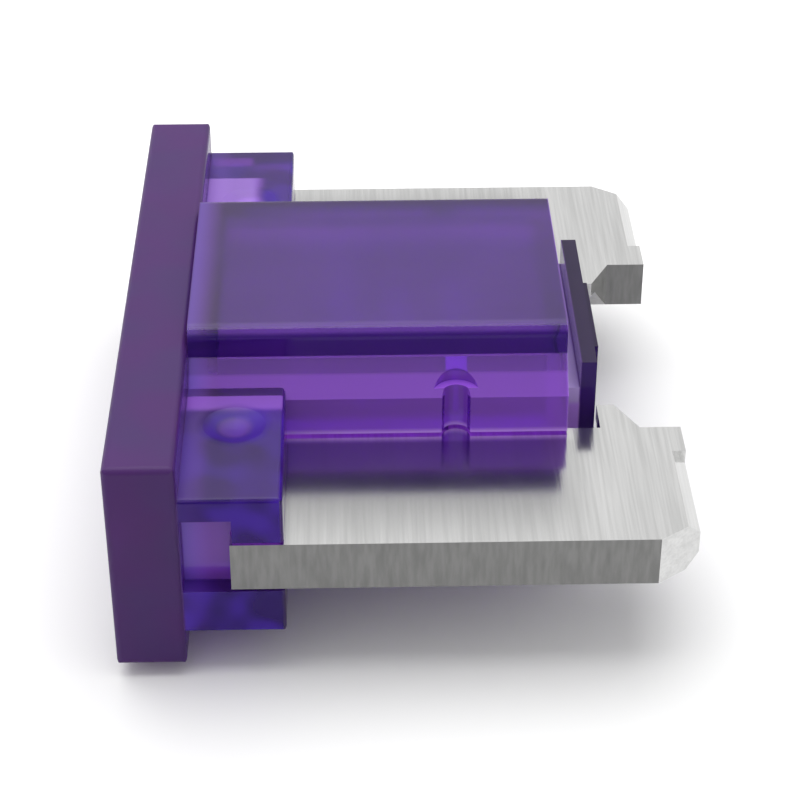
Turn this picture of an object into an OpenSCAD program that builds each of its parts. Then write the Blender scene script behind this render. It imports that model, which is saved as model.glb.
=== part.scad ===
// Automotive blade fuse, low mini form: one stamped zinc strip with two blades and a thin link,
// pressed into one moulded violet housing that lies on its broad face.
// Each shape is drawn with X = 0 on the outer face of the head and X growing towards the blade
// tips, Y across the two blades and Z = 0 in the middle of the thickness. The last step moves the
// fuse so that it lies on Z = 0 with its centre over the origin.

/* [Whole fuse] */
// Height from the outer face of the head to the blade tips
fuse_h = 8.73; // [8.4:0.01:10]
// Room on each side between the blades and the plastic
fit_gap = 0.04; // [0.02:0.01:0.08]

/* [Head] */
// Width of the head across both blades
head_w = 10.92; // [10.2:0.02:12]
// How far the head stands out past the collar and the blades at each end
head_overhang = 0.04; // [0.02:0.01:0.3]
// Thickness of the head
head_t = 3.6; // [3.4:0.05:4.2]
// Height of the head slab
head_h = 1.06; // [0.8:0.02:1.4]
// Radius of the edges of the head
head_edge_r = 0.1; // [0.04:0.02:0.3]
// Width of the opening for a test probe over each blade
probe_hole = 0.9; // [0.6:0.05:1.2]

/* [Collar] */
// Length of the collar under the head
collar_h = 1.51; // [1.3:0.01:1.9]
// Thickness of the collar
collar_t = 2.44; // [2.1:0.02:2.8]
// Radius of the free corners of the collar
collar_edge_r = 0.08; // [0.04:0.02:0.16]
// Plastic between the head and the ends of the blades
blade_seat = 0.72; // [0.5:0.02:0.9]
// Height of the notch's ceiling over the middle, in the side of the collar beside the head
notch_rise = 0.84; // [0.5:0.02:0.95]
// Depth of that notch, from the side
notch_depth = 0.3; // [0.1:0.05:0.8]

/* [Body] */
// Thickness of the fuse over the raised block that it lies on
body_t = 4.1; // [4:0.05:4.6]
// Distance in plan from a blade to the raised block
raised_gap = 0.4; // [0.2:0.01:0.6]
// Radius of the long edges of the raised block
raised_edge_r = 0.22; // [0.04:0.02:0.3]
// Step from the raised block down to the shoulder
step_h = 0.5; // [0.35:0.01:0.6]
// Fall of the sloped shoulder from the step to the side wall
shoulder_fall = 0.46; // [0.2:0.02:0.6]
// How far the side wall reaches over the inner edge of the blade
wall_lap = 0.13; // [0.05:0.01:0.3]
// Length of the blades that stands out past the body
tip_reach = 1.79; // [1.6:0.01:2.2]

/* [Lip] */
// Distance in plan from a blade to the end plate
lip_gap = 0.58; // [0.4:0.02:0.8]
// Thickness of the fuse over the lip
lip_rise = 2.5; // [2.1:0.02:3]
// Length of the lip
lip_t = 0.25; // [0.2:0.01:0.4]
// Width of the groove between the raised block and the lip
groove_w = 0.25; // [0.1:0.01:0.3]
// Thickness of the fuse at the floor of the groove
groove_floor_t = 1.56; // [1.3:0.02:1.8]
// Width of the pad on the end face of the lip
pad_w = 2; // [1.2:0.1:3]
// Height of that pad
pad_h = 0.12; // [0.05:0.01:0.2]
// Thickness of the fuse over the pad
pad_rise = 1.9; // [1.4:0.05:2.1]

/* [Window] */
// Wall between the chamber of the link and the broad face
window_wall = 0.7; // [0.4:0.05:0.9]
// Side wall between the chamber and the edge of the raised block
window_side = 0.2; // [0.15:0.01:0.4]
// Wall between the head and the chamber
window_start = 0.44; // [0.3:0.02:1]
// Wall between the chamber and the end of the body
window_end = 0.3; // [0.2:0.05:0.8]

/* [Blades] */
// Width of one blade
blade_w = 2.9; // [2.7:0.02:3.1]
// Thickness of the blades
blade_t = 0.81; // [0.7:0.01:0.9]
// Width of the square foot at the inner edge of each tip
foot_w = 0.66; // [0.4:0.02:1]
// Length of the lead-in bevel on both faces of the tip
bevel_l = 0.21; // [0.1:0.01:0.35]
// Thickness left at the nose of the tip
nose_t = 0.36; // [0.2:0.02:0.6]
// Length of the cut corner along the blade
corner_l = 0.64; // [0.3:0.02:0.8]
// Length of the cut corner across the blade
corner_w = 0.46; // [0.2:0.02:0.8]

/* [Link] */
// Thickness of the thin middle band of the strip
link_t = 0.26; // [0.15:0.01:0.4]
// Width of the link
link_w = 0.34; // [0.2:0.02:0.5]
// Distance between the middle lines of the three runs of the link
link_pitch = 0.9; // [0.7:0.05:1]
// Length of the straight part of each turn of the link
link_straight = 1.3; // [0.8:0.1:1.6]
// Width of the ramp from the blade down to the thin band
ramp_w = 0.48; // [0.2:0.02:0.7]
// Width of the tie stub at its root, along the blade
stub_l = 0.62; // [0.5:0.02:0.7]
// How far the tie stub stands in from the blade
stub_reach = 0.64; // [0.3:0.02:0.8]
// Length of the sloped side of the tie stub
stub_slope = 0.34; // [0.1:0.02:0.45]

/* [Stakes] */
// Diameter of the hole in each blade under the collar
stake_hole_d = 0.5; // [0.36:0.02:0.56]
// Distance of the hole from the inner edge of the blade
stake_in = 0.98; // [0.8:0.02:1.4]
// Rim left on the collar on both sides of the round dimple that the staking punch leaves
punch_rim = 0.28; // [0.1:0.02:0.4]
// Depth of the dimple in its middle
punch_depth = 0.08; // [0.04:0.01:0.2]
// Distance of the vertical groove in the side wall from the end of the body
groove_from_end = 1.74; // [1.2:0.02:2.4]
// Diameter of that groove
wall_groove_d = 0.44; // [0.3:0.02:0.6]
// Diameter of its wider mouth in the shoulder
groove_mouth_d = 0.72; // [0.62:0.02:0.9]
// Height of the mouth above the lower edge of the shoulder's slope
groove_mouth_h = 0.1; // [0:0.02:0.2]

/* [Hidden] */
$fn = 48;
// a cut reaches this far past the surface that it opens
over = 0.5;
// the blades along X and Y
blade_top_x = head_h + blade_seat;
blade_out_y = head_w / 2 - head_overhang;
blade_in_y = blade_out_y - blade_w;
blade_mid_y = blade_out_y - blade_w / 2;
foot_y = blade_in_y + foot_w;
// the sections of the housing along X
collar_x = head_h + collar_h;
body_x = fuse_h - tip_reach;
lip_x = body_x + groove_w + lip_t;
// the section of the body across Y and Z
raised_w = 2 * (blade_in_y - raised_gap);
lip_w = 2 * (blade_in_y - lip_gap);
shoulder_top = body_t / 2 - step_h;
shoulder_low = shoulder_top - shoulder_fall;
wall_y = blade_in_y + wall_lap;
// the slot for the strip
slot_t = blade_t + 2 * fit_gap;
// the chamber of the link
window_x0 = head_h + window_start;
window_x1 = body_x - window_end;
window_w = raised_w - 2 * window_side;
window_t = body_t - 2 * window_wall;
link_x = (blade_top_x + body_x) / 2;
// the stakes
stake_x = (blade_top_x + collar_x) / 2;
stake_y = blade_in_y + stake_in;
stake_d = stake_hole_d - 2 * fit_gap;
// the dimple sits between the head and the free end of the collar, and is part of a sphere
punch_x = head_h + collar_h / 2;
punch_d = collar_h - 2 * punch_rim;
punch_r = (pow(punch_d / 2, 2) + pow(punch_depth, 2)) / (2 * punch_depth);
wall_groove_x = body_x - groove_from_end;
// the tie stub starts where the cut corner does and runs back to the lip
stub_x1 = fuse_h - corner_l;

// A rectangle around the origin with round corners.
module round_rect(size, r) {
    square([size[0] - 2 * r, size[1]], center = true);
    square([size[0], size[1] - 2 * r], center = true);
    for (sx = [-1, 1], sy = [-1, 1])
        translate([sx * (size[0] / 2 - r), sy * (size[1] / 2 - r)]) circle(r);
}

// A flat shape in Y and Z, drawn out along X from x0 to x1.
module along_x(x0, x1) {
    translate([x0, 0, 0]) rotate([90, 0, 90]) linear_extrude(x1 - x0) children();
}

// A flat shape in X and Z, drawn out along Y to both sides of the middle.
module along_y(width) {
    rotate([90, 0, 0]) linear_extrude(width, center = true) children();
}

// A flat shape in X and Y, drawn out through the thickness to both sides of the middle.
module through(thickness) {
    linear_extrude(thickness, center = true) children();
}

// The same solid on both sides of the middle, at +Y and at -Y.
module both_sides() {
    children();
    mirror([0, 1, 0]) children();
}

// A block whose edges are all round: the common part of three round-cornered prisms.
module round_block(size, r) {
    intersection() {
        through(size[2]) round_rect([size[0], size[1]], r);
        along_y(size[1]) round_rect([size[0], size[2]], r);
        along_x(-size[0] / 2, size[0] / 2) round_rect([size[1], size[2]], r);
    }
}

// The section of the body: the raised block, the step, the sloped shoulder and the side wall.
module body_section() {
    round_rect([raised_w, body_t], raised_edge_r);
    polygon([
        [-wall_y, -shoulder_low], [-raised_w / 2, -shoulder_top],
        [raised_w / 2, -shoulder_top], [wall_y, -shoulder_low],
        [wall_y, shoulder_low], [raised_w / 2, shoulder_top],
        [-raised_w / 2, shoulder_top], [-wall_y, shoulder_low],
    ]);
}

// The slab that fingers or a puller grip. It is thinner than the body, so it stays off the table.
module head() {
    translate([head_h / 2, 0, 0]) round_block([head_h, head_w, head_t], head_edge_r);
}

// The collar, which starts inside the head so that only its free corners are round.
module collar() {
    start = head_h / 2;
    translate([(start + collar_x) / 2, 0, 0])
        round_block([collar_x - start, 2 * blade_out_y, collar_t], collar_edge_r);
}

// The plate past the body, with its groove, its lip and the pad on its end face.
module end_plate() {
    along_x(body_x - over, lip_x) square([lip_w, groove_floor_t], center = true);
    along_x(lip_x - lip_t, lip_x) square([lip_w, lip_rise], center = true);
    along_x(lip_x - lip_t, lip_x + pad_h) square([pad_w, pad_rise], center = true);
}

// The slot for the strip: a pocket for each blade, open at the tip end and at the side, and between
// the pockets a narrow slot for the thin band, which the end plate closes.
module strip_slot() {
    pocket_y = blade_in_y - fit_gap;
    both_sides() translate([blade_top_x, pocket_y, -slot_t / 2])
        cube([fuse_h + over - blade_top_x, head_w / 2 + over - pocket_y, slot_t]);
    along_x(blade_top_x, body_x) band_section(fit_gap);
}

// The chamber that keeps the link clear of the plastic.
module link_window() {
    translate([(window_x0 + window_x1) / 2, 0, 0])
        cube([window_x1 - window_x0, window_w, window_t], center = true);
}

// The opening through the head, in line with the middle of a blade and as high as its slot.
module probe_opening() {
    translate([0, blade_mid_y, 0])
        along_x(-over, blade_top_x + fit_gap) square([probe_hole, slot_t], center = true);
}

// The shallow notch in the side of the collar, between the head and the end of a blade.
module side_notch() {
    translate([head_h, blade_out_y - notch_depth, -slot_t / 2])
        cube([blade_seat + fit_gap, notch_depth + over, notch_rise + slot_t / 2]);
}

// The round dimple that the staking punch leaves on both faces of the collar.
module punch_dimples() {
    for (face = [0, 1])
        mirror([0, 0, face]) translate([punch_x, stake_y, collar_t / 2 - punch_depth])
            intersection() {
                translate([0, 0, punch_r]) sphere(punch_r);
                cylinder(h = punch_depth + over, d = punch_d);
            }
}

// The upright groove in the side wall, with a wider mouth where it leaves the shoulder.
module wall_grooves() {
    mouth_z = shoulder_low + groove_mouth_h;
    translate([wall_groove_x, wall_y, 0]) {
        cylinder(h = body_t, d = wall_groove_d, center = true);
        for (face = [0, 1])
            mirror([0, 0, face]) translate([0, 0, mouth_z])
                cylinder(h = body_t, d = groove_mouth_d);
    }
}

// The housing is one moulding: what the strip needs is cut away, and a stake runs through each blade.
module housing() {
    color("rebeccapurple") {
        difference() {
            union() {
                head();
                collar();
                along_x(head_h, body_x) body_section();
                end_plate();
            }
            strip_slot();
            link_window();
            both_sides() {
                probe_opening();
                side_notch();
                punch_dimples();
                wall_grooves();
            }
        }
        both_sides() translate([stake_x, stake_y, 0])
            cylinder(h = slot_t + 2 * fit_gap, d = stake_d, center = true);
    }
}

// The outline of one blade, from its end under the head to the cut corner at its tip.
module blade_outline() {
    difference() {
        polygon([
            [blade_top_x, blade_in_y], [fuse_h, blade_in_y],
            [fuse_h, blade_out_y - corner_w], [fuse_h - corner_l, blade_out_y],
            [blade_top_x, blade_out_y],
        ]);
        translate([stake_x, stake_y]) circle(d = stake_hole_d);
    }
}

// The side view of the tip: both faces slope in to the nose.
module tip_wedge() {
    polygon([
        [blade_top_x, -blade_t / 2], [fuse_h - bevel_l, -blade_t / 2], [fuse_h, -nose_t / 2],
        [fuse_h, nose_t / 2], [fuse_h - bevel_l, blade_t / 2], [blade_top_x, blade_t / 2],
    ]);
}

// One blade: its outline with a bevelled tip, but a square foot at the inner edge.
module blade() {
    intersection() {
        through(blade_t) blade_outline();
        union() {
            along_y(head_w) tip_wedge();
            translate([blade_top_x, 0, -blade_t / 2]) cube([fuse_h - blade_top_x, foot_y, blade_t]);
        }
    }
}

// The link in X and Y: three runs across the fuse, joined by two round turns.
module link_outline() {
    for (side = [-1, 1]) {
        run_end = side * (blade_in_y + over / 2);
        // the outer run, from its blade to the turn on the far side
        translate([link_x - side * link_pitch, (run_end - side * link_straight / 2) / 2])
            square([link_w, abs(run_end) + link_straight / 2], center = true);
        // the turn at its end
        translate([link_x - side * link_pitch / 2, -side * link_straight / 2])
            intersection() {
                difference() {
                    circle(d = link_pitch + link_w);
                    circle(d = link_pitch - link_w);
                }
                translate([-link_pitch, side > 0 ? -2 * link_pitch : 0])
                    square(2 * link_pitch);
            }
    }
    translate([link_x, 0]) square([link_w, link_straight], center = true);
}

// The stub of the tie that held the blades together while the strip was stamped.
module stub_outline() {
    tip_y = blade_in_y - stub_reach;
    polygon([
        [stub_x1 - stub_l, blade_in_y + over / 2], [stub_x1, blade_in_y + over / 2],
        [stub_x1, blade_in_y], [stub_x1 - stub_slope, tip_y], [stub_x1 - stub_l, tip_y],
    ]);
}

// The section of the strip's thin middle band: level with the blades on one face, with a ramp on
// the other. The room around it is the same section with a gap on every side.
module band_section(gap = 0) {
    top = blade_t / 2 + gap;
    under = blade_t / 2 - link_t - gap;
    ramp_y = blade_in_y - gap;
    flat_y = ramp_y - ramp_w;
    edge_y = blade_in_y + over;
    polygon([
        [-edge_y, top], [-edge_y, -top], [-ramp_y, -top], [-flat_y, under],
        [flat_y, under], [ramp_y, -top], [edge_y, -top], [edge_y, top],
    ]);
}

// The strip is one stamping: two blades, the link between them and what is left of the tie.
module fuse_strip() {
    color("silver") {
        both_sides() blade();
        intersection() {
            through(blade_t) {
                link_outline();
                stub_outline();
                mirror([0, 1]) stub_outline();
            }
            along_x(blade_top_x, fuse_h) band_section();
        }
    }
}

// The fuse lies on its broad face, with its middle over the origin.
module laid_flat() {
    translate([-fuse_h / 2, 0, body_t / 2]) children();
}

laid_flat() housing();
laid_flat() fuse_strip();
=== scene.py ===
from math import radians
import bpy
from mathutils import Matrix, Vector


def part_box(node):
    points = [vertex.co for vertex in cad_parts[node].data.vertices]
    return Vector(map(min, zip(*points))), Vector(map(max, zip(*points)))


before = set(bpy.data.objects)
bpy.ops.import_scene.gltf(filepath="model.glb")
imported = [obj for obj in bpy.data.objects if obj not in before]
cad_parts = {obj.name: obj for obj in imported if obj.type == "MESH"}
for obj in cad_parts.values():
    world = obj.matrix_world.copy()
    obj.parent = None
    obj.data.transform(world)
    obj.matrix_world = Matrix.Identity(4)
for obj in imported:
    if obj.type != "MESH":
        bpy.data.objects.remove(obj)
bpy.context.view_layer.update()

# %% [markdown]
# A low blade fuse for a car, dressed for a close studio picture.
#
# The fuse is 11 mm wide and has two pieces. One is a stamped zinc strip: two flat blades and,
# out of sight, the thin link that melts. The other is the violet plastic housing that encloses
# the link, with a head to grip it by. The loaded frame holds both pieces at their real size, so
# this lesson leaves their shapes alone and gives them their finish, their light and their
# camera. Lengths are in metres, so one millimetre gets a name of its own.

# %% Measure the frame
from types import SimpleNamespace

import bpy
import numpy as np
from mathutils import Euler, Vector

MM = 0.001
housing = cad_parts["housing"]
fuse_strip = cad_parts["fuse_strip"]
housing_low, housing_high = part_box("housing")
strip_low, strip_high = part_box("fuse_strip")
print("housing from", housing_low, "to", housing_high)
print("strip from", strip_low, "to", strip_high)

# %% [markdown]
# The camera comes first, because each finish is judged through it. It looks along the width of
# the fuse and down on it, from four centimetres away, which makes the near blade larger than
# the far one. A camera in Blender looks along its own -Z, so a tilt of 90 degrees about X would
# look level, and a smaller tilt looks down.

# %% Camera
scene = bpy.context.scene
CAMERA_PLACE = Vector((-0.715, -31.24, 22.2)) * MM
LOOKS_DOWN = radians(33.72)
LOOKS_ASIDE = radians(1.36)
LENS = 100.3
NEAREST_SEEN = 1 * MM
FARTHEST_SEEN = 2

lens = bpy.data.cameras.new("camera")
lens.lens = LENS
lens.clip_start = NEAREST_SEEN
lens.clip_end = FARTHEST_SEEN
camera = bpy.data.objects.new("camera", lens)
camera.location = CAMERA_PLACE
camera.rotation_euler = Euler((radians(90) - LOOKS_DOWN, 0, -LOOKS_ASIDE))
scene.collection.objects.link(camera)
scene.camera = camera
scene.view_settings.view_transform = "Standard"
print("camera at", camera.location, "with a lens of", lens.lens, "mm")

# %% [markdown]
# Finishes are made of nodes, and their sums are easier to read as sums. This small class wraps
# one output socket of a node tree. An expression such as 1 - mask * 0.3 then adds its Math nodes
# by itself, and every other node comes from the one method called node.

# %% Wires of a node tree
class Wire:
    """One output of a node tree. Arithmetic on wires adds Math nodes to the tree."""

    def __init__(self, tree, socket=None):
        self.tree = tree
        self.socket = socket

    def node(self, kind, settings=None, sockets=None, output=0):
        """Adds a node: its settings are set first, then the values or links of its sockets."""
        made = self.tree.nodes.new(kind)
        for name, value in (settings or {}).items():
            if name == "stops":
                while len(made.color_ramp.elements) < len(value):
                    made.color_ramp.elements.new(1)
                for element, (place, colour) in zip(made.color_ramp.elements, value):
                    element.position = place
                    element.color = (*colour, 1)
            else:
                setattr(made, name, value)
        for name, value in (sockets or {}).items():
            if isinstance(value, Wire):
                self.tree.links.new(value.socket, made.inputs[name])
            else:
                made.inputs[name].default_value = value
        return Wire(self.tree, made.outputs[output] if made.outputs else None)

    def math(self, operation, first, second):
        """Adds a Math node that works on two wires or numbers."""
        settings = {"operation": operation}
        return self.node("ShaderNodeMath", settings, {0: first, 1: second})

    def __add__(self, other):
        return self.math("ADD", self, other)

    def __radd__(self, other):
        return self.math("ADD", other, self)

    def __sub__(self, other):
        return self.math("SUBTRACT", self, other)

    def __rsub__(self, other):
        return self.math("SUBTRACT", other, self)

    def __mul__(self, other):
        return self.math("MULTIPLY", self, other)

    def __rmul__(self, other):
        return self.math("MULTIPLY", other, self)

    def __abs__(self):
        return self.node("ShaderNodeMath", {"operation": "ABSOLUTE"}, {0: self})


def new_material(name):
    """An empty node material, and a wire that starts its tree."""
    material = bpy.data.materials.new(name)
    material.use_nodes = True
    material.node_tree.nodes.clear()
    return material, Wire(material.node_tree)


def mixed(factor, first, second):
    """The colour between two colours, at factor 0 the first and at factor 1 the second."""
    settings = {"data_type": "RGBA", "clamp_factor": True}
    return factor.node("ShaderNodeMix", settings, {0: factor, 6: first, 7: second}, 2)


def between(value, low, high):
    """0 where value is under low, 1 where it is over high, with a smooth rise between."""
    settings = {"interpolation_type": "SMOOTHSTEP"}
    return value.node("ShaderNodeMapRange", settings, {0: value, 1: low, 2: high})


print("node helpers are ready")

# %% [markdown]
# The table under the fuse is a pale sheet that runs out of sight. The picture needs it white,
# but a white floor would throw too much light up into the violet plastic. So the camera sees a
# white floor, while the light that bounces meets a pale grey one. Near the fuse it is a matt
# surface, which keeps the shadow. Far out, where the lamp's light falls off, it fades into the
# plain white of the background.

# %% Floor
FLOOR_HALF = 0.4
WHITE = (1, 1, 1, 1)
SEEN_PAPER = (0.98, 0.98, 0.98, 1)
BOUNCING_PAPER = (0.8, 0.8, 0.8, 1)
FADE_FROM = 22 * MM
FADE_TO = 50 * MM

corners = np.array([(-1, -1, 0), (1, -1, 0), (1, 1, 0), (-1, 1, 0)]) * FLOOR_HALF
sheet = bpy.data.meshes.new("floor")
sheet.from_pydata(corners.tolist(), [], [(0, 1, 2, 3)])
floor = bpy.data.objects.new("floor", sheet)
scene.collection.objects.link(floor)

paper, start = new_material("floor_white")
seen = start.node("ShaderNodeLightPath", output="Is Camera Ray")
paper_colour = mixed(seen, BOUNCING_PAPER, SEEN_PAPER)
matt = start.node("ShaderNodeBsdfDiffuse", {}, {"Color": paper_colour})
blank = start.node("ShaderNodeEmission", {}, {"Color": WHITE, "Strength": 1})
place = start.node("ShaderNodeTexCoord", output="Object")
distance = start.node("ShaderNodeVectorMath", {"operation": "LENGTH"}, {0: place}, output="Value")
far = between(distance, FADE_FROM, FADE_TO)
surface = start.node("ShaderNodeMixShader", {}, {0: far * seen, 1: matt, 2: blank})
start.node("ShaderNodeOutputMaterial", {}, {"Surface": surface})
sheet.materials.append(paper)
print("floor of", 2 * FLOOR_HALF, "m")

# %% [markdown]
# Small parts are photographed in a tent of white cloth with a lamp above it. A lamp the size of
# the tent's roof gives the soft shadow that fades within two millimetres of the blades.

# %% Lamp
ROOF_SIZE = 0.12
ROOF_PLACE = Vector((-0.006, 0.026, 0.1))
ROOF_POWER = 0.088

roof = bpy.data.lights.new("roof", "AREA")
roof.shape = "SQUARE"
roof.size = ROOF_SIZE
roof.energy = ROOF_POWER
roof_lamp = bpy.data.objects.new("roof", roof)
roof_lamp.location = ROOF_PLACE
scene.collection.objects.link(roof_lamp)
print("roof lamp at", roof_lamp.location, "of", ROOF_POWER, "W")

# %% [markdown]
# The tent's walls are the world. They are dimmer low down, which keeps the upright faces darker
# than the flat ones. The wall behind the fuse is the brightest, because the blades mirror it, and
# the wall on the right is dim, so that the shadow keeps its depth on that side. A world's colour
# depends on the direction one looks in. That is a vector of length 1, and the limits below are
# shares of it.

# %% Tent
WALL_FOOT = (0.25, 0.25, 0.25)
WALL_TOP = (0.78, 0.78, 0.78)
TOP_FROM = 0.6
BACK_WALL = (0.85, 0.85, 0.85, 1)
BACK_LIMITS = (0.3, 0.85)
RIGHT_WALL = (0.45, 0.45, 0.45, 1)
RIGHT_LIMITS = (0.2, 0.9)


def axis(vector, name):
    """One of the three numbers of a vector wire."""
    return vector.node("ShaderNodeSeparateXYZ", {}, {0: vector}, output=name)


world = bpy.data.worlds.new("tent")
world.use_nodes = True
world.node_tree.nodes.clear()
scene.world = world
start = Wire(world.node_tree)
direction = start.node("ShaderNodeTexCoord", output="Generated")
ramp = {"stops": [(0, WALL_FOOT), (TOP_FROM, WALL_TOP), (1, WALL_TOP)]}
walls = start.node("ShaderNodeValToRGB", ramp, {0: axis(direction, "Z")})
tent_colour = mixed(between(axis(direction, "Y"), *BACK_LIMITS), walls, BACK_WALL)
tent_colour = mixed(between(axis(direction, "X"), *RIGHT_LIMITS), tent_colour, RIGHT_WALL)
seen = start.node("ShaderNodeLightPath", output="Is Camera Ray")
tent_colour = mixed(seen, tent_colour, WHITE)
glow = start.node("ShaderNodeBackground", {}, {"Color": tent_colour, "Strength": 1})
start.node("ShaderNodeOutputWorld", {}, {"Surface": glow})
print("tent from", WALL_FOOT[0], "at its foot to", WALL_TOP[0], "at its top")

# %% [markdown]
# The housing is moulded in a tinted plastic that lets light in, so its edges glow and its inside
# shows faintly. The mould was blasted where it shapes the broad faces and the head, which leaves
# them matt, and polished where it shapes the sides. Light that wanders inside the plastic comes
# out in some places and leaves others dark, and the finish paints that in, as painted glow and
# painted shade. So the finish has to know where it is. One could paint a picture for that, but
# masks made of coordinates stay sharp at any size. Each mask is 1 in its own zone of the housing
# and 0 outside, with a soft change between.

# %% Masks
SOFT = 0.03 * MM


def past(value, limit):
    """1 past a limit in metres and 0 before it, with a short soft change."""
    return between(value, limit - SOFT, limit + SOFT)


def outside(square, limit, soft=SOFT):
    """1 where a squared distance is past a limit in metres, and 0 where it is nearer."""
    return between(square, limit ** 2, (limit + soft) ** 2)


def higher(first, second):
    """The larger of two masks, so it is 1 where either of them is."""
    return first.math("MAXIMUM", first, second)


print("a mask changes over", 2 * SOFT, "m or more")

# %% [markdown]
# Every mask asks the same questions of a point: how far along the fuse it is, how far from the
# middle line, how high over or under the middle, and which way its face looks. Most masks treat
# both broad sides alike, and both long sides too. That is why most answers are squares, which
# don't mind the sign. The answers are kept together under the name at.

# %% Where a point lies
HEAD_END = housing_low[0] + 1.06 * MM
BODY_END = HEAD_END + 5.88 * MM
LIP_START = BODY_END + 0.25 * MM
WALL_REACH = 2.7 * MM
STEP_FOOT = 1.53 * MM
MIDDLE = housing_high[2] / 2
SIDE_FACES = (0.25, 0.4)
UPRIGHT_FACES = (0.55, 0.9)
BROAD_FACES = (0.62, 0.8)
print("head ends at", HEAD_END, "m and the body at", BODY_END, "m")


def housing_places(start):
    """The place and the facing of a point of the housing, and the masks that most zones share."""
    facing = start.node("ShaderNodeNewGeometry", output="Normal")
    place = start.node("ShaderNodeTexCoord", output="Object")
    off_middle = axis(place, "Z") - MIDDLE
    upward = axis(facing, "Z")
    sideways = axis(facing, "Y")
    at = SimpleNamespace(along=axis(place, "X"), aside=axis(place, "Y"))
    at.outward = at.aside * at.aside
    at.height = off_middle * off_middle
    at.steep = upward * upward
    at.level = sideways * sideways
    at.side = between(at.level, *SIDE_FACES)
    at.broad = between(at.steep, *BROAD_FACES)
    at.beside = outside(at.outward, WALL_REACH)
    at.before_head = 1 - past(at.along, HEAD_END)
    at.after_head = 1 - at.before_head
    at.lip = past(at.along, LIP_START)
    at.below_step = 1 - outside(at.height, STEP_FOOT)
    return at


# %% [markdown]
# At the ends of the fuse there are four zones: the head, the strip beside it, bright with a
# painted glow, the end groove with its thin floor, which gets a painted glow too, and the lip,
# dark with painted shade, whose top is painted greyer than its edge.

# %% Zones of the ends
BESIDE_HEAD_REACH = 0.5 * MM


def end_zones(at):
    """Masks of the head, the strip beside it, the end groove and the lip."""
    near_head = 1 - between(at.along, HEAD_END, HEAD_END + BESIDE_HEAD_REACH)
    return {
        "head": at.before_head,
        "beside head": at.after_head * near_head,
        "groove": past(at.along, BODY_END) * (1 - at.lip),
        "lip": at.lip,
        "lip top": at.lip * at.broad,
    }


print("the strip beside the head is", BESIDE_HEAD_REACH, "m wide")

# %% [markdown]
# The body's side wall gets a painted glow, strongest near the middle of its height and weakest
# above the bend of the shoulder. The narrow notch in the collar's side gets the same painted
# glow.
# A half-round groove runs down the wall, and its wide mouth gets a painted glow too. The other
# upright faces are narrow edges, which are kept dark with painted shade.

# %% Zones of the body
SHOULDER_BEND = 1.33 * MM
BEND_SOFT = 2 * SOFT
FOOT_TOP = 0.43 * MM
FOOT_SOFT = 4 * SOFT
NOTCH_FROM = 4.95 * MM
NOTCH_TO = 5.25 * MM
WALL_GROOVE_PLACE = BODY_END - 1.74 * MM
MOUTH_REACH = 0.4 * MM
MOUTH_FOOT = 1.05 * MM
MOUTH_INNER = 2.25 * MM


def body_zones(at):
    """Masks of the side wall, its upper part and foot, the mouth of its groove and the edges."""
    notch = outside(at.outward, NOTCH_FROM) * (1 - outside(at.outward, NOTCH_TO))
    collar_side = at.beside * (1 - notch)
    wall = at.side * at.after_head * (1 - at.lip) * at.below_step * (1 - collar_side)
    upper = outside(at.height, SHOULDER_BEND, BEND_SOFT)
    foot = (1 - at.beside) * (1 - outside(at.height, FOOT_TOP, FOOT_SOFT))
    from_groove = at.along - WALL_GROOVE_PLACE
    near_groove = 1 - outside(from_groove * from_groove, MOUTH_REACH)
    near_wall = outside(at.outward, MOUTH_INNER) * (1 - at.beside)
    mouth_height = outside(at.height, MOUTH_FOOT) * at.below_step
    upright = between(at.level, *UPRIGHT_FACES)
    return {
        "wall": wall,
        "wall upper": wall * upper,
        "wall foot": wall * foot,
        "foot": foot,
        "mouth": near_groove * near_wall * mouth_height * (1 - at.side),
        "edge": higher(upright * at.after_head * (1 - wall), at.lip),
    }


print("wall groove at", WALL_GROOVE_PLACE, "m")

# %% [markdown]
# The collar carries the blades. Its top gets painted shade for the metal in it, except for an
# inner strip along the body, which gets a painted glow, and except for one patch on the far side,
# which gets a painted glow where light comes up through the plastic. The marks on it are read as
# the round dimple of a punch that set a stake, with a painted highlight in its middle and painted
# shade on its rim. The collar's rounded edges get painted shade as dark lines.

# %% Zones of the collar
INNER_REACH = 3.0 * MM
INNER_SOFT = 6 * SOFT
PATCH_REACH = 4.36 * MM
PATCH_END = HEAD_END + 0.92 * MM
PATCH_SOFT = 5 * SOFT
PUNCH_ALONG = HEAD_END + 0.755 * MM
PUNCH_ASIDE = 3.5 * MM
PUNCH_MIDDLE = 0.1 * MM
PUNCH_RIM = 0.2 * MM
PUNCH_OUTER = 0.42 * MM
PUNCH_SOFT = 0.2 * MM
RIM_SOFT = 0.15 * MM
TURN_FROM = (0.03, 0.15)
TURN_TO = (0.7, 0.85)


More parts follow.
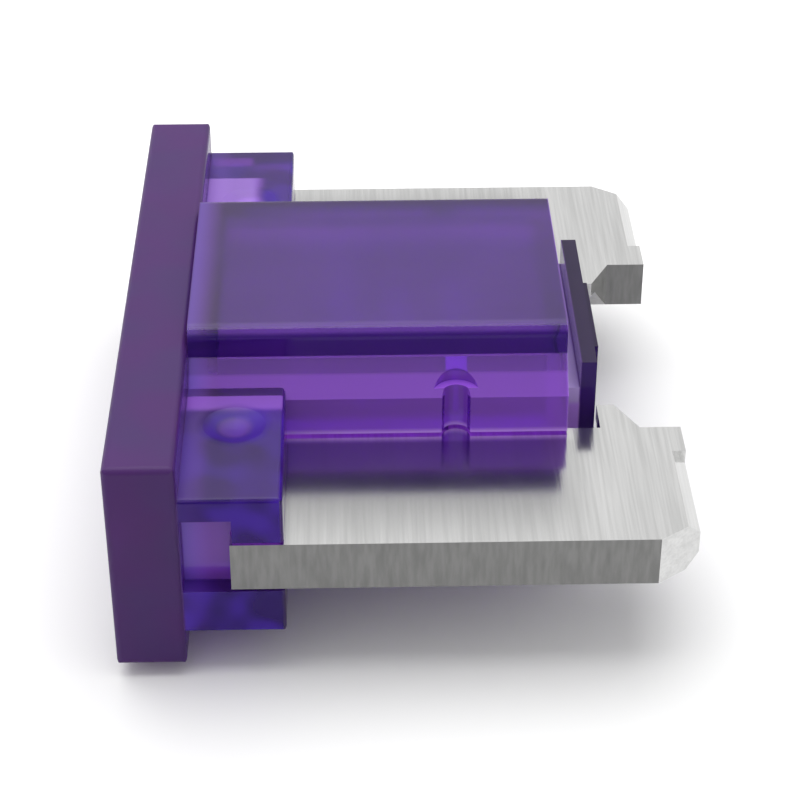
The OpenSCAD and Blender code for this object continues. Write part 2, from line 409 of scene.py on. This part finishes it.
def collar_zones(at):
    """Masks of the collar's top, its places of painted glow, its dimple and its edges of painted
    shade.
    """
    top = at.beside * at.after_head * at.broad
    inner = top * (1 - outside(at.outward, INNER_REACH, INNER_SOFT))
    patch_length = 1 - between(at.along, PATCH_END - PATCH_SOFT, PATCH_END + PATCH_SOFT)
    patch = top * past(at.aside, 0) * (1 - past(at.aside, PATCH_REACH)) * patch_length
    punch_x = at.along - PUNCH_ALONG
    punch_y = abs(at.aside) - PUNCH_ASIDE
    punch = punch_x * punch_x + punch_y * punch_y
    punched = top * (1 - outside(punch, PUNCH_MIDDLE, PUNCH_SOFT))
    past_middle = outside(punch, PUNCH_RIM, RIM_SOFT)
    rim = top * past_middle * (1 - outside(punch, PUNCH_OUTER, PUNCH_SOFT))
    turned = between(at.steep, *TURN_FROM) * (1 - between(at.steep, *TURN_TO))
    return {
        "collar": at.beside,
        "shaded collar": top * (1 - punched) * (1 - inner) * (1 - patch),
        "inner": inner,
        "patch": patch,
        "punched": punched,
        "rim": rim * (1 - patch),
        "turned": turned * at.beside * at.after_head,
    }


print("punch at", PUNCH_ALONG, PUNCH_ASIDE, "m")

# %% [markdown]
# Now the plastic itself. Glass with a coloured volume would be enough for a clear part, and a
# plain gloss for a solid one. This plastic is both in turns, so three shaders share it. The first
# is see-through, and the absorption in its volume makes it deeper where it is thicker. The second
# is a painted glow: an opaque bright violet that stands for the light that has wandered about
# inside and comes out at the wall and the thin places. The third is opaque and dark: painted
# shade for the narrow edges, through which one looks along the whole depth of a wall, and the
# head's own colour over much of the head. Each table below gives a zone its colour or its share,
# and a share under zero takes some away.

# %% Colours of the plastic
DEEP_VIOLET = (0.34, 0.06, 0.74, 1)
CLEAR_VIOLET = (0.40, 0.08, 0.84, 1)
HEAD_VIOLET = (0.28, 0.06, 0.40, 1)
# Painted glow: bright violets laid on the zones where light that wanders inside the plastic comes
# out.
GLOW_VIOLET = (0.40, 0.12, 0.88, 1)
GLOW_COATS = {
    "groove": (0.60, 0.45, 0.85, 1),
    "punched": (0.20, 0.05, 0.75, 1),
    "foot": (0.58, 0.30, 0.95, 1),
    "beside head": (0.28, 0.13, 0.82, 1),
    "inner": (0.34, 0.12, 0.72, 1),
    "patch": (0.34, 0.17, 0.66, 1),
}
GLOW_SHARES = {
    "wall": 0.4, "wall upper": -0.22, "wall foot": 0.6, "groove": 0.75, "punched": 0.3,
    "inner": 0.5, "beside head": 0.3, "patch": 0.7, "mouth": 0.6,
}
# Painted shade: dark violets for the narrow edges, the lip, the collar's top, the dimple's rim
# and the rounded edges; the lip's top is painted darker and greyer. The head keeps its own red
# and blue mottle.
EDGE_SHADE_VIOLET = (0.025, 0.006, 0.14, 1)
SHADE_BLUE_VIOLET = (0.055, 0.015, 0.36, 1)
HEAD_RED = (0.092, 0.022, 0.178, 1)
HEAD_BLUE = (0.076, 0.030, 0.172, 1)
SHADE_COATS = {"lip": (0.050, 0.022, 0.165, 1), "lip top": (0.030, 0.022, 0.055, 1)}
DENSE_AND_SHADE_SHARES = {"edge": 0.75, "shaded collar": 0.3, "rim": 0.35, "turned": 0.6, "head": 0.6}


def coated(zone, colour, coats):
    """A colour with a table's coats over it, each in its own zone, and the last one on top."""
    for name, coat in coats.items():
        colour = mixed(zone[name], colour, coat)
    return colour


def shared(zone, shares):
    """The sum of a table's zones, each times its share."""
    total = 0
    for name, share in shares.items():
        total = total + share * zone[name]
    return total


print(len(GLOW_SHARES), "zones glow and", len(DENSE_AND_SHADE_SHARES), "are dark")

# %% [markdown]
# A moulded surface has slow waves from the plastic's filling of the mould, and a fine speckle
# where the mould was blasted. Both are too shallow for a mesh, so noise makes a bump of them. One
# bump and one roughness serve all three shaders, so the gloss runs on from zone to zone.

# %% Surface of the moulding
WAVE_SIZE = 0.7 * MM
WAVE_SHARE = 0.8
SPECK_SIZE = 0.12 * MM
SPECK_SHARE = 0.2
SPECK_ROUGH = 0.06
BUMP_DEPTH = 0.01 * MM
BUMP_STRENGTH = 0.5
MATT_ROUGH = 0.35
POLISHED_ROUGH = 0.06


def grain(start, size, stretch=(1, 1, 1), detail=3, seed=0):
    """Noise whose grains are about size metres across, or longer along a stretched axis."""
    place = start.node("ShaderNodeTexCoord", output="Object")
    scale = [1 / (size * share) for share in stretch]
    laid = start.node("ShaderNodeMapping", {}, {0: place, 1: (seed, seed, seed), 3: scale})
    settings = {"noise_dimensions": "3D"}
    return start.node("ShaderNodeTexNoise", settings, {0: laid, 2: 1, 3: detail})


def moulded_surface(start, matt):
    """Roughness and bump of the moulding: blasted where matt is 1, and polished where it is 0."""
    speck = grain(start, SPECK_SIZE, detail=2, seed=3)
    waves = grain(start, WAVE_SIZE, detail=2, seed=7)
    rough = POLISHED_ROUGH + (MATT_ROUGH - POLISHED_ROUGH) * matt + SPECK_ROUGH * speck
    height = WAVE_SHARE * waves + SPECK_SHARE * speck
    settings = {"Height": height, "Distance": BUMP_DEPTH, "Strength": BUMP_STRENGTH}
    return rough, start.node("ShaderNodeBump", {}, settings)


print("roughness from", POLISHED_ROUGH, "to", MATT_ROUGH)

# %% [markdown]
# The three shaders meet here. Clouds of pigment a few millimetres across vary the see-through
# one, and smaller clouds vary the painted shade on the collar's edges and the head's colour. Two
# Mix Shaders then lay them over each other: the painted glow over the clear one, and the opaque
# dark shader, with its painted shade, over both.

# %% Violet plastic
CLOUD_SIZE = 2.5 * MM
CLOUD_LIMITS = (0.35, 0.65)
MOTTLE_SIZE = 0.9 * MM
COLLAR_LIMITS = (0.42, 0.62)
HEAD_LIMITS = (0.3, 0.7)
SHINE = 0.35
EDGE_SHINE = 0.1
SEE_THROUGH = 0.95
BENDING = 1.5
TINT = (0.45, 0.2, 0.8, 1)
TINT_DENSITY = 300


def violet_plastic():
    """Tinted see-through plastic: cloudy pigment, matt and polished zones, painted glow and
    shade.
    """
    material, start = new_material("violet_plastic")
    at = housing_places(start)
    zone = {**end_zones(at), **body_zones(at), **collar_zones(at)}
    rough, bump = moulded_surface(start, higher(at.broad, zone["head"]))
    cloud = grain(start, CLOUD_SIZE, detail=2)
    mottle = grain(start, MOTTLE_SIZE, detail=1, seed=13)
    pigment = mixed(between(cloud, *CLOUD_LIMITS), DEEP_VIOLET, CLEAR_VIOLET)
    clear = start.node("ShaderNodeBsdfPrincipled", {}, {
        "Base Color": mixed(zone["head"], pigment, HEAD_VIOLET), "Roughness": rough,
        "IOR": BENDING, "Transmission Weight": SEE_THROUGH, "Specular IOR Level": SHINE,
        "Normal": bump,
    })
    # The painted glow: an opaque bright violet, laid over the see-through shader by zone.
    painted_glow = start.node("ShaderNodeBsdfPrincipled", {}, {
        "Base Color": coated(zone, GLOW_VIOLET, GLOW_COATS), "Roughness": rough,
        "Specular IOR Level": SHINE, "Normal": bump,
    })
    clouded = zone["collar"] * between(mottle, *COLLAR_LIMITS)
    edge_shade_colour = mixed(clouded, EDGE_SHADE_VIOLET, SHADE_BLUE_VIOLET)
    head_colour = mixed(between(mottle, *HEAD_LIMITS), HEAD_BLUE, HEAD_RED)
    shade_and_head_colour = mixed(zone["head"], coated(zone, edge_shade_colour, SHADE_COATS), head_colour)
    # Painted shade on the edges, the lip and the collar, and the head's own colour, in one opaque
    # shader.
    dense_and_shade = start.node("ShaderNodeBsdfPrincipled", {}, {
        "Base Color": shade_and_head_colour, "Roughness": rough, "Specular IOR Level": EDGE_SHINE, "Normal": bump,
    })
    # Each zone's share of painted glow, and then of painted shade or the head's own colour.
    glow = shared(zone, GLOW_SHARES)
    inside = start.node("ShaderNodeMixShader", {}, {0: glow, 1: clear, 2: painted_glow})
    shade_and_head_share = shared(zone, DENSE_AND_SHADE_SHARES)
    plastic = start.node("ShaderNodeMixShader", {}, {0: shade_and_head_share, 1: inside, 2: dense_and_shade})
    tint = start.node("ShaderNodeVolumeAbsorption", {}, {"Color": TINT, "Density": TINT_DENSITY})
    start.node("ShaderNodeOutputMaterial", {}, {"Surface": plastic, "Volume": tint})
    return material


housing.data.materials.clear()
housing.data.materials.append(violet_plastic())
print("housing wears", housing.data.materials[0].name)

# %% [markdown]
# The strip is rolled zinc alloy. Rolling leaves fine lines on the broad faces, along the width
# of each blade, and they stretch a reflection into streaks. The press shears the narrow sides,
# which leaves them rougher, and their colour is painted darker: partly the duller sheared metal,
# partly painted shade. The surface's own direction tells the two apart, except on the small step
# at the tip and on the thin band inside the housing, where the place tells it. Close beside the
# body, the blades get painted shade that makes them darker.

# %% Zones of the strip
SHEARED_FACES = (0.86, 0.95)
TIP_STEP_ALONG = strip_high[0] - 0.24 * MM
TIP_STEP_ASIDE = 3.0 * MM
THIN_END = 2.47 * MM
# Where the blades get painted shade beside the body.
BODY_SHADE_ALONG = (BODY_END - 0.6 * MM, BODY_END + 0.4 * MM)
BODY_SHADE_FROM = (2.75 * MM, 2.9 * MM)
BODY_SHADE_TO = (4.2 * MM, 5.7 * MM)
BODY_SHADE_SHARE = 0.8


def strip_zones(start):
    """Two masks: the rolled broad faces, and the painted shade on the metal beside the body."""
    facing = start.node("ShaderNodeNewGeometry", output="Normal")
    place = start.node("ShaderNodeTexCoord", output="Object")
    along = axis(place, "X")
    aside = abs(axis(place, "Y"))
    rolled = 1 - between(abs(axis(facing, "Y")), *SHEARED_FACES)
    tip_step = past(along, TIP_STEP_ALONG) * past(aside, TIP_STEP_ASIDE)
    thin_part = 1 - past(aside, THIN_END)
    broad = higher(higher(rolled, tip_step), thin_part)
    beside_body = 1 - between(along, *BODY_SHADE_ALONG)
    near_wall = between(aside, *BODY_SHADE_FROM) * (1 - between(aside, *BODY_SHADE_TO))
    return broad, BODY_SHADE_SHARE * beside_body * near_wall


print("tip step at", TIP_STEP_ALONG, "m")

# %% [markdown]
# Noise that is stretched forty times across the blade turns into rolling lines. A larger grain,
# stretched less, makes the streaks, and one that is stretched through the thickness makes the
# sheared sides. One Principled shader is enough, because both kinds of surface are bare metal.

# %% Zinc alloy
BRIGHT_LOW = (0.64, 0.64, 0.635, 1)
BRIGHT_HIGH = (0.79, 0.79, 0.785, 1)
# Grey of the painted shade beside the body.
BODY_SHADE_GREY = (0.42, 0.42, 0.42, 1)
# Sheared sides: partly the rougher sheared metal, partly painted shade.
SHEARED_SHADE_LOW = (0.22, 0.22, 0.217, 1)
SHEARED_SHADE_HIGH = (0.29, 0.29, 0.286, 1)
METAL_ROUGH = 0.14
EDGE_ROUGH = 0.45
LINE_SIZE = 0.05 * MM
LINE_STRETCH = (1, 40, 1)
LINE_SHARE = 0.6
LINE_DEPTH = 0.001 * MM
STREAK_SIZE = 0.28 * MM
STREAK_STRETCH = (1, 14, 1)
STREAK_SHARE = 0.4
TONE_LIMITS = (0.3, 0.7)
SHEAR_SIZE = 0.08 * MM
SHEAR_STRETCH = (1, 1, 6)
SHEAR_LIMITS = (0.2, 0.8)
HAZE_SIZE = 1.2 * MM
HAZE_ROUGH = 0.06
HAZE_MIDDLE = 0.5


def zinc_alloy():
    """Rolled bright metal with fine lines along Y, sheared sides painted darker, and painted
    shade.
    """
    material, start = new_material("zinc_alloy")
    broad, body_shade = strip_zones(start)
    lines = grain(start, LINE_SIZE, LINE_STRETCH, detail=4)
    streaks = grain(start, STREAK_SIZE, STREAK_STRETCH, detail=2, seed=17)
    sheared = grain(start, SHEAR_SIZE, SHEAR_STRETCH, detail=4, seed=9)
    haze = grain(start, HAZE_SIZE, detail=3, seed=5)
    tone = LINE_SHARE * lines + STREAK_SHARE * streaks
    bright = mixed(between(tone, *TONE_LIMITS), BRIGHT_LOW, BRIGHT_HIGH)
    # Painted shade beside the body.
    bright = mixed(body_shade, bright, BODY_SHADE_GREY)
    # Sheared sides, painted darker.
    sheared_shade = mixed(between(sheared, *SHEAR_LIMITS), SHEARED_SHADE_LOW, SHEARED_SHADE_HIGH)
    rough = EDGE_ROUGH - (EDGE_ROUGH - METAL_ROUGH) * broad + HAZE_ROUGH * (haze - HAZE_MIDDLE)
    height = lines * broad + sheared * (1 - broad)
    bump = start.node("ShaderNodeBump", {}, {"Height": height, "Distance": LINE_DEPTH})
    metal = start.node("ShaderNodeBsdfPrincipled", {}, {
        "Base Color": mixed(broad, sheared_shade, bright), "Metallic": 1, "Roughness": rough,
        "Normal": bump,
    })
    start.node("ShaderNodeOutputMaterial", {}, {"Surface": metal})
    return material


fuse_strip.data.materials.clear()
fuse_strip.data.materials.append(zinc_alloy())
print("fuse_strip wears", fuse_strip.data.materials[0].name)

# %% [markdown]
# The finish leaves the shape of both pieces alone.


print("sizes of", len(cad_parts), "pieces written")
